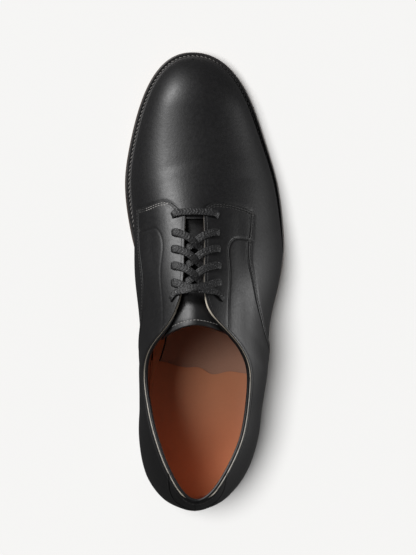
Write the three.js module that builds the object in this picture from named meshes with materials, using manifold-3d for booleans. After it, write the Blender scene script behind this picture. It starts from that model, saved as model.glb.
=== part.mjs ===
// Plain-toe derby shoe for the right foot, in millimetres.
// X runs across the shoe with the big-toe side at minus X, Y from heel to toe, Z up from the floor.
import * as THREE from 'three';
import { mergeVertices } from 'three/addons/utils/BufferGeometryUtils.js';
import Module from 'manifold-3d';

const wasm = await Module();
wasm.setup();

// Driving dimensions of the last and the sole
const soleLength = 302;
const ballWidth = 108;
const heelWidth = 73;
const instepHeight = 87;
const heelHeight = 22;
const toeSpring = 12;
const toeRound = 90;
const heelRound = 36;
const toeDome = 34;
const ledgeWidth = 5.5;

// Thicknesses and clearances
const gap = 0.3;
const wall = 2.2;
const overlay = 1.2;
const outsoleThickness = 5;
const weltThickness = 3;
const weltSetback = 0.6;
const insoleThickness = 5;
const sockThickness = 1;
const tongueThickness = 2.2;

// Heel block
const heelLength = 76;
const heelTaper = 2.5;
const topPieceThickness = 6.5;
const liftCount = 3;

// Back curve of the counter: how far it swells out and how far its top leans in
const counterHeight = 61;
const counterSwell = 4.8;
const counterLean = 3.6;
const counterReach = 62;

// Lacing
const laceWidth = 5;
const laceThickness = 1.4;
const holeDiameter = 4;
const holePairs = 6;
const barBow = 2.4;

// Places along the sole, as shares of its length
const seatEnd = 0.16;
const ballStart = 0.62;
const ballEnd = 0.7;
const widthChange = { from: 0.2, to: 0.6 };
const throatFront = 0.63;
const sockEnd = 0.3;
const holePlace = { front: 0.626, top: 0.4475 };
const tongueFront = 0.66;
const tongueTop = { middle: 0.399, fall: 0.222 };
const heelSwingEnd = 0.17;
const toeSwingStart = 0.75;

// Places across the instep, as shares of the way from the crest down to the foot
const holeAcross = { front: 0.185, top: 0.235 };
const tongueEdge = { front: 0.3, top: 0.38 };
const diveEnd = 0.045;

// A strand of lace falls back by this share of a pitch before it dives from this share of its way
const strandFall = 0.7;
const diveStart = 0.45;
// Depth of the lower and the upper strand of a crossing, as shares of the facing's thickness
const strandDepth = { lower: 0.6, upper: 0.4 };
// Extra rise of the upper strand where the last two cross, as a share of the lace's thickness
const topLift = 0.5;
// Section of a flat lace: half heights of its edge and half widths of its face, as shares
const laceEdge = 0.4;
const laceFace = 0.8;

// Roundness of the plan at both ends, of the counter's plan, and of the toe in side view
const planPower = 2.2;
const counterPower = 2;
const domePower = 2.3;
const bellyRound = 50;
const crestRound = 70;

// How far each end swings towards the big-toe side
const heelSwing = 3.8;
const toeSwing = 3;

// Fineness of the faceted surfaces
const stations = 46;
const acrossSteps = 11;
const plateStations = 40;
const strandSteps = 9;
const holeSides = 8;
const tabCurveSteps = 4;
const mergeDistance = 1e-4;

// Shape of the last at shares of the sole's length. Widths are half widths, as shares of the
// local width, and so is the crest's place across. The crest is a share of the instep height,
// the belly's height a share of the crest, and the ledge a share of the widest ledge.
const lastColumns = ['at', 'soleMed', 'soleLat', 'ledge', 'bellyMed', 'bellyLat', 'bellyHigh',
  'shoulderMed', 'shoulderLat', 'crest', 'crestX'];
const lastRows = [
  [0.0, .500, .507, .36, .535, .520, .36, .210, .250, .940, -.034],
  [0.1, .500, .507, .36, .524, .512, .36, .240, .235, .940, -.036],
  [0.2, .496, .513, .40, .522, .557, .38, .300, .205, .950, -.041],
  [0.3, .443, .516, .50, .489, .579, .42, .365, .225, .990, -.045],
  [0.4, .376, .519, .64, .430, .531, .47, .215, .200, 1.00, -.044],
  [0.5, .363, .556, .84, .409, .532, .50, .200, .200, .945, -.041],
  [0.6, .411, .551, 1.0, .390, .514, .50, .235, .235, .820, -.039],
  [0.7, .447, .517, 1.0, .406, .477, .52, .265, .265, .660, -.041],
  [0.8, .431, .456, 1.0, .391, .417, .56, .272, .272, .532, -.044],
  [0.9, .415, .435, 1.0, .374, .394, .60, .262, .262, .426, -.040],
  [1.0, .407, .440, 1.0, .366, .396, .60, .255, .255, .303, -.028],
];

// Rim of the collar and throat: how far up the section it lies on each side, 0 foot to 1 crest
const rimColumns = ['at', 'med', 'lat'];
const rimRows = [
  [0.00, .600, .600],
  [0.05, .595, .585],
  [0.10, .568, .548],
  [0.15, .535, .510],
  [0.20, .480, .487],
  [0.26, .443, .500],
  [0.31, .470, .540],
  [0.35, .562, .618],
  [0.39, .705, .745],
  [0.43, .800, .870],
  [0.47, .865, .907],
  [0.55, .910, .913],
  [0.64, .935, .925],
];

// Lower edge of the raised quarters, in the same measure: below 0 it has passed the foot line
const seamColumns = ['at', 'med', 'lat'];
const seamRows = [
  [0.310, -.10, -.10],
  [0.325, .050, .060],
  [0.345, .200, .220],
  [0.366, .290, .310],
  [0.404, .375, .390],
  [0.440, .420, .455],
  [0.490, .455, .520],
  [0.550, .415, .573],
  [0.600, .380, .557],
  [0.670, .400, .540],
];

// Front edges of the quarters from above: x is a share of the ball width, y of the length
const tabFrontMed = [[-.43, .645], [-.357, .647], [-.29, .654], [-.208, .6605], [-.161, .652], [-.108, .634]];
const tabFrontLat = [[.007, .6395], [.05, .652], [.113, .656], [.22, .651], [.34, .637], [.43, .628]];

// Curves through tables

// Natural cubic spline through the points (at, value)
function splineThrough(at, value) {
  const last = at.length - 1;
  const bend = at.map(() => 0);
  const pull = at.map(() => 0);
  for (let i = 1; i < last; i++) {
    const before = at[i] - at[i - 1];
    const after = at[i + 1] - at[i];
    const share = before / (before + after);
    const pivot = share * bend[i - 1] + 2;
    const turn = (value[i + 1] - value[i]) / after - (value[i] - value[i - 1]) / before;
    bend[i] = (share - 1) / pivot;
    pull[i] = (6 * turn / (before + after) - share * pull[i - 1]) / pivot;
  }
  for (let i = last - 1; i > 0; i--) {
    bend[i] = bend[i] * bend[i + 1] + pull[i];
  }
  bend[0] = 0;
  return (x) => {
    let i = 0;
    while (i < last - 1 && x > at[i + 1]) i++;
    const span = at[i + 1] - at[i];
    const far = (x - at[i]) / span;
    const near = 1 - far;
    const curve = (near ** 3 - near) * bend[i] + (far ** 3 - far) * bend[i + 1];
    return near * value[i] + far * value[i + 1] + curve * span ** 2 / 6;
  };
}

function curvesOf(columns, rows) {
  const at = rows.map((row) => row[0]);
  const pairs = columns.slice(1).map((name, k) => [name, splineThrough(at, rows.map((row) => row[k + 1]))]);
  return Object.fromEntries(pairs);
}

const last = curvesOf(lastColumns, lastRows);
const rim = curvesOf(rimColumns, rimRows);
const seam = curvesOf(seamColumns, seamRows);
const sideName = (side) => (side < 0 ? 'Med' : 'Lat');

// Heights and widths along the shoe, with y measured from the heel end of the sole

const smooth = THREE.MathUtils.smoothstep;
const lerp = THREE.MathUtils.lerp;

function undersideAt(y) {
  const share = y / soleLength;
  const seat = heelHeight * (1 - smooth(share, seatEnd, ballStart));
  return seat + toeSpring * Math.max(0, (share - ballEnd) / (1 - ballEnd)) ** 2;
}

function footLineAt(y) {
  return undersideAt(y) + outsoleThickness + weltThickness + 2 * gap;
}

function widthAt(share) {
  return lerp(heelWidth, ballWidth, smooth(share, widthChange.from, widthChange.to));
}

// Width left by rounding off both ends: 1 between the rounds, 0 at the ends
function roundEnds(y, heelEnd, heelRadius, toeEnd, toeRadius, heelPower = planPower) {
  const back = THREE.MathUtils.clamp((heelEnd + heelRadius - y) / heelRadius, 0, 1);
  const front = THREE.MathUtils.clamp((y - toeEnd + toeRadius) / toeRadius, 0, 1);
  return (1 - back ** heelPower) ** (1 / heelPower) * (1 - front ** planPower) ** (1 / planPower);
}

function swingAt(share) {
  const heel = Math.max(0, 1 - share / heelSwingEnd);
  const toe = Math.max(0, (share - toeSwingStart) / (1 - toeSwingStart));
  return -heelSwing * heel ** 2 - toeSwing * toe ** 2;
}

// A point of the sole's outline, drawn in by inset: run goes from 0 at the heel end to 1
function soleEdge(run, side, inset, until = soleLength - inset) {
  const y = lerp(inset, until, run);
  const share = y / soleLength;
  const half = last['sole' + sideName(side)](share) * widthAt(share) - inset;
  const ends = roundEnds(y, inset, heelRound - inset, soleLength - inset, toeRound - inset);
  return new THREE.Vector2(side * half * ends + swingAt(share), y);
}

// A point of the line where the upper meets the welt, drawn in by inset
function footEdge(run, side, inset, until = soleLength - ledgeWidth - inset) {
  const y = lerp(heelLedge + inset, until, run);
  return new THREE.Vector2(lastPoint(y, 0, side, inset).x, y);
}

const heelLedge = ledgeWidth * last.ledge(0);

// Surface of the last

// A point of the upper's outer face, set inward by inset: climb goes from 0 at the foot line
// to 1 at the crest along one cubic curve for each side, and below 0 it drops straight down
function lastPoint(y, climb, side, inset) {
  const share = y / soleLength;
  const name = sideName(side);
  const width = widthAt(share);
  const backEnd = heelLedge + inset;
  const toeEnd = soleLength - ledgeWidth - inset;
  const toeRadius = toeRound - ledgeWidth - inset;
  const round = (radius, power) => roundEnds(y, backEnd, radius - inset, toeEnd, toeRadius, power);
  const foot = (last['sole' + name](share) * width - last.ledge(share) * ledgeWidth - inset)
    * round(heelRound - heelLedge, planPower);
  const belly = (last['belly' + name](share) * width - inset) * round(bellyRound, counterPower);
  const shoulder = (last['shoulder' + name](share) * width - inset / 2) * round(crestRound, counterPower);
  const dome = THREE.MathUtils.clamp((y - toeEnd + toeDome - inset) / (toeDome - inset), 0, 1);
  const fullCrest = last.crest(share) * instepHeight;
  const crest = (fullCrest - inset) * (1 - dome ** domePower) ** (1 / domePower);
  const bellyHeight = last.bellyHigh(share) * (crest + inset) - inset / 3;
  const q = Math.max(climb, 0);
  const c0 = (1 - q) ** 3;
  const c1 = 3 * (1 - q) ** 2 * q;
  const top = 3 * (1 - q) * q * q;
  // the second control point is set so that the curve passes through the belly at a quarter
  const bellyPull = foot + (belly - foot + 9 / 64 * (foot - shoulder)) * 64 / 27;
  const x = side * (c0 * foot + c1 * bellyPull + top * shoulder)
    + (c0 + c1) * swingAt(share) + (top + q ** 3) * last.crestX(share) * width;
  const rise = c1 * bellyHeight + (top + q ** 3) * crest;
  const z = rise + Math.min(climb, 0) * instepHeight + footLineAt(y);
  return new THREE.Vector3(x, y + counterShift(y, rise), z);
}

// The counter's back swells out low down and leans in at its top, fading out along the shoe
function counterShift(y, rise) {
  const up = rise / counterHeight;
  const swell = 2 * counterSwell + counterLean + 2 * Math.sqrt(counterSwell * (counterSwell + counterLean));
  const fade = THREE.MathUtils.clamp(1 - (y - heelLedge) / counterReach, 0, 1) ** 2;
  return (swell * up * up + (counterLean - swell) * up) * fade;
}

// The direction straight out of the last's surface
function outwardAt(y, climb, side) {
  const [alongStep, climbStep] = [soleLength / 1000, 0.01];
  const along = lastPoint(y + alongStep, climb, side, 0).sub(lastPoint(y - alongStep, climb, side, 0));
  const up = lastPoint(y, climb + climbStep, side, 0).sub(lastPoint(y, climb - climbStep, side, 0));
  return along.cross(up).multiplyScalar(side).normalize();
}

// A point straight out from the last's surface by a distance
function offsetPoint(y, climb, side, distance) {
  return lastPoint(y, climb, side, 0).addScaledVector(outwardAt(y, climb, side), distance);
}

// Over the instep, across goes from -1 at the big-toe side's foot to 1 at the other: the same
// place as share, climb and side
function overInstep(share, across) {
  return [share * soleLength, 1 - Math.abs(across), Math.sign(across) || 1];
}

// Building closed solids

function steps(count) {
  return Array.from({ length: count + 1 }, (_, i) => i / count);
}

const easeBoth = (count) => steps(count).map((s) => (1 - Math.cos(Math.PI * s)) / 2);
const easeStart = (count) => steps(count).map((s) => 1 - Math.cos(Math.PI * s / 2));

// Skin over rings of points, each ring running counterclockwise about the way forward
function loft(rings, joined = false) {
  const size = rings[0].length;
  const index = [];
  const rows = joined ? rings.length : rings.length - 1;
  for (let i = 0; i < rows; i++) {
    const next = (i + 1) % rings.length;
    for (let j = 0; j < size; j++) {
      const k = (j + 1) % size;
      index.push(i * size + j, i * size + k, next * size + j);
      index.push(i * size + k, next * size + k, next * size + j);
    }
  }
  // each end is closed by strips between the first half of its ring and the second
  const end = (rings.length - 1) * size;
  for (let j = 0; j < size / 2 - 1 && !joined; j++) {
    const [a, b, c, d] = [j, j + 1, size - 2 - j, size - 1 - j];
    index.push(a, c, b, a, d, c);
    index.push(end + a, end + b, end + c, end + a, end + c, end + d);
  }
  return closedGeometry(rings.flat(), index);
}

// Geometry with equal points merged and the faces that collapse left out
function closedGeometry(points, index) {
  const loose = new THREE.BufferGeometry().setFromPoints(points);
  loose.setIndex(index);
  const merged = mergeVertices(loose, mergeDistance);
  const corner = merged.index.array;
  const kept = [];
  for (let i = 0; i < corner.length; i += 3) {
    const [a, b, c] = [corner[i], corner[i + 1], corner[i + 2]];
    if (a !== b && b !== c && c !== a) kept.push(a, b, c);
  }
  merged.setIndex(kept);
  return merged;
}

function solidOf(geometry) {
  const vertProperties = new Float32Array(geometry.attributes.position.array);
  const triVerts = new Uint32Array(geometry.index.array);
  return new wasm.Manifold(new wasm.Mesh({ numProp: 3, vertProperties, triVerts }));
}

// A three.js shape's solid: its seams are merged before it can be joined or cut
function solidOfShape(geometry) {
  const plain = geometry.index ? geometry.toNonIndexed() : geometry;
  const position = plain.attributes.position;
  const pointAt = (i) => new THREE.Vector3().fromBufferAttribute(position, i);
  const points = steps(position.count - 1).map((_, i) => pointAt(i));
  return solidOf(closedGeometry(points, points.map((_, i) => i)));
}

function geometryOf(solid) {
  const mesh = solid.getMesh();
  const geometry = new THREE.BufferGeometry();
  geometry.setAttribute('position', new THREE.BufferAttribute(mesh.vertProperties, 3));
  geometry.setIndex(new THREE.BufferAttribute(mesh.triVerts, 1));
  return geometry;
}

// A plate between a lower and an upper outline, with its faces at heights that follow y
function plate({ runs, lowerEdge, upperEdge = lowerEdge, bottom, top }) {
  const corner = (edge, height, run, side) => {
    const { x, y } = edge(run, side);
    return new THREE.Vector3(x, y, height(y));
  };
  return loft(runs.map((run) => [
    corner(lowerEdge, bottom, run, -1),
    corner(upperEdge, top, run, -1),
    corner(upperEdge, top, run, 1),
    corner(lowerEdge, bottom, run, 1),
  ]));
}

// Upper

// The closed body within the last's surface set inward by inset, with its sides dropped
// below the foot line by a share of the instep height
function lastBody(inset, drop = 0) {
  const climbs = steps(acrossSteps);
  const foot = drop > 0 ? [-drop, ...climbs] : climbs;
  const rings = easeBoth(stations).map((run) => {
    const y = lerp(heelLedge + inset, soleLength - ledgeWidth - inset, run);
    const med = foot.map((climb) => lastPoint(y, climb, -1, inset));
    const lat = foot.map((climb) => lastPoint(y, climb, 1, inset)).reverse();
    return [...med, ...lat];
  });
  return solidOf(loft(rings));
}

// All that lies above a line on the last, from the heel's back to one place along the shoe.
// Its lower side is square to the last's surface, from outside the upper to a depth within it
function aboveLine(line, until, depth) {
  const outside = overlay + wall;
  const ceiling = heelHeight + 2 * instepHeight;
  const rings = easeStart(stations).map((run) => {
    const y = lerp(heelLedge, until * soleLength, run);
    const share = y / soleLength;
    const med = offsetPoint(y, line.med(share), -1, outside);
    const lat = offsetPoint(y, line.lat(share), 1, outside);
    const medDeep = offsetPoint(y, line.med(share), -1, -depth);
    const latDeep = offsetPoint(y, line.lat(share), 1, -depth);
    // near the heel's middle the two deep edges meet without crossing
    const centre = last.crestX(share) * widthAt(share);
    medDeep.x = Math.min(medDeep.x, centre);
    latDeep.x = Math.max(latDeep.x, centre);
    const shelf = Math.max(med.z, lat.z) + outside;
    const flank = (side, height) => new THREE.Vector3(side * ballWidth, (med.y + lat.y) / 2, height);
    return [medDeep, med, flank(-1, shelf), flank(-1, ceiling),
      flank(1, ceiling), flank(1, shelf), lat, latDeep];
  });
  return solidOf(loft(rings));
}

// Upright block behind the curved front edges of the two quarters, wider and longer than they are
function behindTabs() {
  const [aside, behind] = [0.7, -0.2];
  const place = ([x, y]) => new THREE.Vector2(x * ballWidth, y * soleLength);
  const outline = new THREE.Shape();
  const corners = [[-aside, behind], [-aside, tabFrontMed[0][1]], tabFrontMed[0]].map(place);
  corners.forEach((p, i) => (i ? outline.lineTo(p.x, p.y) : outline.moveTo(p.x, p.y)));
  outline.splineThru(tabFrontMed.slice(1).map(place));
  const start = place(tabFrontLat[0]);
  outline.lineTo(start.x, start.y);
  outline.splineThru(tabFrontLat.slice(1).map(place));
  const back = [[aside, tabFrontLat.at(-1)[1]], [aside, behind]].map(place);
  back.forEach((p) => outline.lineTo(p.x, p.y));
  outline.closePath();
  const depth = heelHeight + 2 * instepHeight;
  const settings = { depth, bevelEnabled: false, curveSegments: tabCurveSteps };
  return solidOfShape(new THREE.ExtrudeGeometry(outline, settings));
}

const holeShareAt = (pair) => lerp(holePlace.front, holePlace.top, pair / (holePairs - 1));
const holeAcrossAt = (pair) => lerp(holeAcross.front, holeAcross.top, pair / (holePairs - 1));

function laceHole(pair, side) {
  const place = overInstep(holeShareAt(pair), side * holeAcrossAt(pair));
  const hole = new THREE.CylinderGeometry(holeDiameter / 2, holeDiameter / 2, 4 * wall, holeSides);
  const turn = new THREE.Quaternion().setFromUnitVectors(new THREE.Vector3(0, 1, 0), outwardAt(...place));
  hole.applyQuaternion(turn);
  hole.translate(...lastPoint(...place, 0));
  return solidOfShape(hole);
}

function upper() {
  const [seamStart, belowFoot] = seamRows[0];
  const lowerEdge = (curve) => (share) => (share < seamStart ? belowFoot : curve(share));
  const quarterLine = { med: lowerEdge(seam.med), lat: lowerEdge(seam.lat) };
  const aboveSeams = aboveLine(quarterLine, seamRows.at(-1)[0], wall / 2);
  const quarters = lastBody(-overlay).intersect(aboveSeams).intersect(behindTabs());
  let shell = lastBody(0).add(quarters).subtract(lastBody(wall, wall / instepHeight));
  shell = shell.subtract(aboveLine(rim, throatFront, 2 * wall));
  for (let pair = 0; pair < holePairs; pair++) {
    shell = shell.subtract(laceHole(pair, -1)).subtract(laceHole(pair, 1));
  }
  return geometryOf(shell);
}

// Sole and heel

function outsole() {
  return plate({
    runs: easeBoth(plateStations),
    lowerEdge: (run, side) => soleEdge(run, side, 0),
    bottom: undersideAt,
    top: (y) => undersideAt(y) + outsoleThickness,
  });
}

function welt() {
  const bottom = (y) => undersideAt(y) + outsoleThickness + gap;
  const section = (run, side) => {
    const outer = soleEdge(run, side, weltSetback);
    const inner = footEdge(run, side, wall);
    const corner = (p, height) => new THREE.Vector3(p.x, p.y, bottom(p.y) + height);
    return [corner(inner, 0), corner(inner, weltThickness), corner(outer, weltThickness), corner(outer, 0)];
  };
  const toToe = easeBoth(plateStations);
  const toHeel = toToe.slice(1, -1).reverse();
  const rings = [...toToe.map((run) => section(run, 1)), ...toHeel.map((run) => section(run, -1))];
  return loft(rings, true);
}

function heelPlate(bottom, top) {
  const taper = (z) => heelTaper * (1 - z / heelHeight);
  const edgeAt = (z) => (run, side) => soleEdge(run, side, taper(z), heelLength);
  return plate({
    runs: easeStart(plateStations / 2),
    lowerEdge: edgeAt(bottom(0)),
    upperEdge: edgeAt(top(0)),
    bottom,
    top,
  });
}

function heelTopPiece() {
  return heelPlate(() => 0, () => topPieceThickness);
}

function heelLift(number) {
  const thickness = (heelHeight - topPieceThickness - gap * (liftCount + 1)) / liftCount;
  const base = topPieceThickness + gap + number * (thickness + gap);
  const seated = number === liftCount - 1;
  return heelPlate(() => base, (y) => (seated ? undersideAt(y) - gap : base + thickness));
}

function insole() {
  return plate({
    runs: easeBoth(plateStations),
    lowerEdge: (run, side) => footEdge(run, side, wall + gap),
    bottom: (y) => undersideAt(y) + outsoleThickness + gap,
    top: (y) => undersideAt(y) + outsoleThickness + gap + insoleThickness,
  });
}

function sock() {
  const bottom = (y) => undersideAt(y) + outsoleThickness + insoleThickness + 2 * gap;
  return plate({
    runs: easeStart(plateStations / 2),
    lowerEdge: (run, side) => footEdge(run, side, wall + 2 * gap, sockEnd * soleLength),
    bottom,
    top: (y) => bottom(y) + sockThickness,
  });
}

// Tongue

function tongue() {
  const across = steps(2 * acrossSteps).map((s) => 2 * s - 1);
  const line = (run, inset) => across.map((a) => {
    const place = a * lerp(tongueEdge.top, tongueEdge.front, run);
    const top = tongueTop.middle - tongueTop.fall * place * place;
    return lastPoint(...overInstep(lerp(top, tongueFront, run), place), inset);
  });
  const rings = steps(acrossSteps).map((run) => [
    ...line(run, wall + gap),
    ...line(run, wall + gap + tongueThickness).reverse(),
  ]);
  return loft(rings);
}

// Laces

// A flat strand over the instep, following route(s) = { share, across, rise }: rise is the
// height of its middle over the facings
function strand(route) {
  const along = steps(strandSteps).map(route);
  const middles = along.map(({ share, across, rise }) => {
    const place = overInstep(share, across);
    return offsetPoint(...place, overlay + rise);
  });
  const rings = middles.map((middle, i) => {
    const ahead = middles[Math.min(i + 1, strandSteps)];
    const forward = ahead.clone().sub(middles[Math.max(i - 1, 0)]).normalize();
    const up = outwardAt(...overInstep(along[i].share, along[i].across));
    const aside = new THREE.Vector3().crossVectors(forward, up).normalize();
    up.crossVectors(aside, forward);
    const corner = (w, t) => middle.clone().addScaledVector(aside, w * laceWidth / 2)
      .addScaledVector(up, t * laceThickness / 2);
    return [
      corner(-1, -laceEdge), corner(-1, laceEdge), corner(-laceFace, 1), corner(laceFace, 1),
      corner(1, laceEdge), corner(1, -laceEdge), corner(laceFace, -1), corner(-laceFace, -1),
    ];
  });
  return solidOf(loft(rings));
}

const laceRise = gap + laceThickness / 2;

function laceBar() {
  const reach = holeAcrossAt(0);
  return geometryOf(strand((s) => ({
    share: holeShareAt(0) + barBow / soleLength * Math.sin(Math.PI * s),
    across: lerp(-reach, reach, s),
    rise: laceRise,
  })));
}

// Two strands that cross in the throat and stop short of the facing that they dive under
function divingCross(pair) {
  const arm = (side, depth) => strand((s) => ({
    share: lerp(holeShareAt(pair), holeShareAt(pair + strandFall), s),
    across: side * lerp(holeAcrossAt(pair), -diveEnd, s),
    rise: laceRise - depth * (overlay + wall) * smooth(s, diveStart, 1),
  }));
  return geometryOf(arm(-1, strandDepth.upper).add(arm(1, strandDepth.lower)));
}

// The last two strands cross over the facings into the top pair of holes
function topCross() {
  const pair = holePairs - 2;
  const arm = (side, lift) => strand((s) => ({
    share: lerp(holeShareAt(pair), holeShareAt(pair + 1), s),
    across: side * lerp(holeAcrossAt(pair), -holeAcrossAt(pair + 1), s),
    rise: laceRise + lift * laceThickness * Math.sin(Math.PI * s),
  }));
  return geometryOf(arm(-1, topLift).add(arm(1, 0)));
}

// The shoe

const blackCalf = new THREE.MeshStandardMaterial({ color: 0x1c1c1e, roughness: 0.4, metalness: 0 });
const blackWelt = new THREE.MeshStandardMaterial({ color: 0x18171a, roughness: 0.55, metalness: 0 });
const brownSole = new THREE.MeshStandardMaterial({ color: 0x3a2a20, roughness: 0.6, metalness: 0 });
const blackHeel = new THREE.MeshStandardMaterial({ color: 0x201b19, roughness: 0.5, metalness: 0 });
const blackRubber = new THREE.MeshStandardMaterial({ color: 0x151515, roughness: 0.8, metalness: 0 });
const tanLeather = new THREE.MeshStandardMaterial({ color: 0xb0713f, roughness: 0.6, metalness: 0 });
const beigeLeather = new THREE.MeshStandardMaterial({ color: 0x9a7a5c, roughness: 0.7, metalness: 0 });
const blackCotton = new THREE.MeshStandardMaterial({ color: 0x1a1a1b, roughness: 0.85, metalness: 0 });

const shoe = new THREE.Group();

function addPiece(name, geometry, material) {
  const mesh = new THREE.Mesh(geometry, material);
  mesh.name = name;
  shoe.add(mesh);
}

addPiece('heel_top_piece', heelTopPiece(), blackRubber);
for (let number = 0; number < liftCount; number++) {
  addPiece(`heel_lift_${number + 1}`, heelLift(number), blackHeel);
}
addPiece('outsole', outsole(), brownSole);
addPiece('welt', welt(), blackWelt);
addPiece('insole', insole(), beigeLeather);
addPiece('sock', sock(), tanLeather);
addPiece('upper', upper(), blackCalf);
addPiece('tongue', tongue(), blackCalf);
addPiece('lace_bar', laceBar(), blackCotton);
for (let pair = 1; pair < holePairs - 2; pair++) {
  addPiece(`lace_cross_${pair}`, divingCross(pair), blackCotton);
}
addPiece(`lace_cross_${holePairs - 2}`, topCross(), blackCotton);

// The origin is under the middle of the shoe's box, on the floor
const box = new THREE.Box3().setFromObject(shoe);
const middle = box.getCenter(new THREE.Vector3());
shoe.position.set(-middle.x, -middle.y, -box.min.z);

export default shoe;
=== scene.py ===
import math

import bmesh
import bpy
import numpy as np
from mathutils import Matrix, Vector


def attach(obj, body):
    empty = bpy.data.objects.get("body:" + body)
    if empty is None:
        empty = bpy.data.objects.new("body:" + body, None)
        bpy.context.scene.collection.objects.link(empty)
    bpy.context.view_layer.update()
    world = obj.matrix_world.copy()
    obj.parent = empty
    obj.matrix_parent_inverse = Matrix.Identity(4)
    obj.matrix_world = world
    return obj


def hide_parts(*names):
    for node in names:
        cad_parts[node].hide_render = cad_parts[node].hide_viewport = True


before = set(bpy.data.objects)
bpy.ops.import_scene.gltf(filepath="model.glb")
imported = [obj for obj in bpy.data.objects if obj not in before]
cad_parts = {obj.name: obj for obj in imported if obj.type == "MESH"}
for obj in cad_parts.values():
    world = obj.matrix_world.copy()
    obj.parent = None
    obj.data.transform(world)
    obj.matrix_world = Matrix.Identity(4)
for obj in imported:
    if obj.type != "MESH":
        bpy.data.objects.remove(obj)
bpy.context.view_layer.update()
print("frame loaded")

# ---- the last, in mm, with the sole's heel end at y = 0 and the little-toe side at plus x

last = {
    "soleLength": 302.0, "ballWidth": 108.0, "heelWidth": 73.0, "instepHeight": 87.0,
    "heelHeight": 22.0, "toeSpring": 12.0, "toeRound": 90.0, "heelRound": 36.0, "toeDome": 34.0,
    "ledgeWidth": 5.5, "gap": 0.3, "wall": 2.2, "overlay": 1.2, "outsole": 5.0, "welt": 3.0,
    "seatEnd": 0.16, "ballStart": 0.62, "ballEnd": 0.70, "widthFrom": 0.2, "widthTo": 0.6,
    "planPower": 2.2, "counterPower": 2.0, "domePower": 2.3, "bellyRound": 50.0, "crestRound": 70.0,
    "heelSwing": 3.8, "heelSwingEnd": 0.17, "toeSwing": 3.0, "toeSwingStart": 0.75,
    "counterHeight": 61.0, "counterSwell": 4.8, "counterLean": 3.6, "counterReach": 62.0,
    "centre": (-5.815, -149.597, 0.0),
}
# shares of the local width, of the instep height for the crest, and of the crest for bellyHigh
lastColumns = ["at", "soleMed", "soleLat", "ledge", "bellyMed", "bellyLat", "bellyHigh",
               "shoulderMed", "shoulderLat", "crest", "crestX"]
lastRows = np.array([
    [0.0, .500, .507, .36, .535, .520, .36, .210, .250, .940, -.034],
    [0.1, .500, .507, .36, .524, .512, .36, .240, .235, .940, -.036],
    [0.2, .496, .513, .40, .522, .557, .38, .300, .205, .950, -.041],
    [0.3, .443, .516, .50, .489, .579, .42, .365, .225, .990, -.045],
    [0.4, .376, .519, .64, .430, .531, .47, .215, .200, 1.00, -.044],
    [0.5, .363, .556, .84, .409, .532, .50, .200, .200, .945, -.041],
    [0.6, .411, .551, 1.0, .390, .514, .50, .235, .235, .820, -.039],
    [0.7, .447, .517, 1.0, .406, .477, .52, .265, .265, .660, -.041],
    [0.8, .431, .456, 1.0, .391, .417, .56, .272, .272, .532, -.044],
    [0.9, .415, .435, 1.0, .374, .394, .60, .262, .262, .426, -.040],
    [1.0, .407, .440, 1.0, .366, .396, .60, .255, .255, .303, -.028],
])
rimRows = np.array([[0.00, .600, .600], [0.05, .595, .585], [0.10, .568, .548], [0.15, .535, .510],
                    [0.20, .480, .487], [0.26, .443, .500], [0.31, .470, .540], [0.35, .562, .618],
                    [0.39, .705, .745], [0.43, .800, .870], [0.47, .865, .907], [0.55, .910, .913],
                    [0.64, .935, .925]])
seamRows = np.array([[.310, -.10, -.10], [.325, .050, .060], [.345, .200, .220], [.366, .290, .310],
                     [.404, .375, .390], [.440, .420, .455], [.490, .455, .520], [.550, .415, .573],
                     [.600, .380, .557], [.670, .400, .540]])


def splineThrough(at, value):
    # natural cubic: the second slopes solve one linear system, then each span is a cubic in far and near
    at, value = np.asarray(at, float), np.asarray(value, float)
    span = np.diff(at)
    count = len(at)
    system = np.eye(count)
    pull = np.zeros_like(value)
    for i in range(1, count - 1):
        system[i, i - 1:i + 2] = span[i - 1], 2 * (span[i - 1] + span[i]), span[i]
        pull[i] = 6 * ((value[i + 1] - value[i]) / span[i] - (value[i] - value[i - 1]) / span[i - 1])
    bend = np.linalg.solve(system, pull)

    def curve(x):
        x = np.asarray(x, float)
        i = np.clip(np.searchsorted(at, x, side="right") - 1, 0, count - 2)
        wide = span[i]
        far = (x - at[i]) / wide
        near = 1 - far
        if value.ndim > 1:
            far, near, wide = far[..., None], near[..., None], wide[..., None]
        return (near * value[i] + far * value[i + 1]
                + ((near ** 3 - near) * bend[i] + (far ** 3 - far) * bend[i + 1]) * wide ** 2 / 6)
    return curve


lastCurve = {name: splineThrough(lastRows[:, 0], lastRows[:, k + 1]) for k, name in enumerate(lastColumns[1:])}
rimCurve = {-1: splineThrough(rimRows[:, 0], rimRows[:, 1]), 1: splineThrough(rimRows[:, 0], rimRows[:, 2])}
seamCurve = {-1: splineThrough(seamRows[:, 0], seamRows[:, 1]), 1: splineThrough(seamRows[:, 0], seamRows[:, 2])}
heelLedge = last["ledgeWidth"] * .36
toeEdge = last["soleLength"] - last["ledgeWidth"]


def smoothStep(x, low, high):
    s = np.clip((x - low) / (high - low), 0, 1)
    return s * s * (3 - 2 * s)


def undersideAt(y):
    # the heel height falls off smoothly to the ball, and the toe springs up as a square
    share = y / last["soleLength"]
    seat = last["heelHeight"] * (1 - smoothStep(share, last["seatEnd"], last["ballStart"]))
    return seat + last["toeSpring"] * np.clip((share - last["ballEnd"]) / (1 - last["ballEnd"]), 0, None) ** 2


def footLineAt(y):
    return undersideAt(y) + last["outsole"] + last["welt"] + 2 * last["gap"]


def widthAt(share):
    wider = smoothStep(share, last["widthFrom"], last["widthTo"])
    return last["heelWidth"] + (last["ballWidth"] - last["heelWidth"]) * wider


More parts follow.
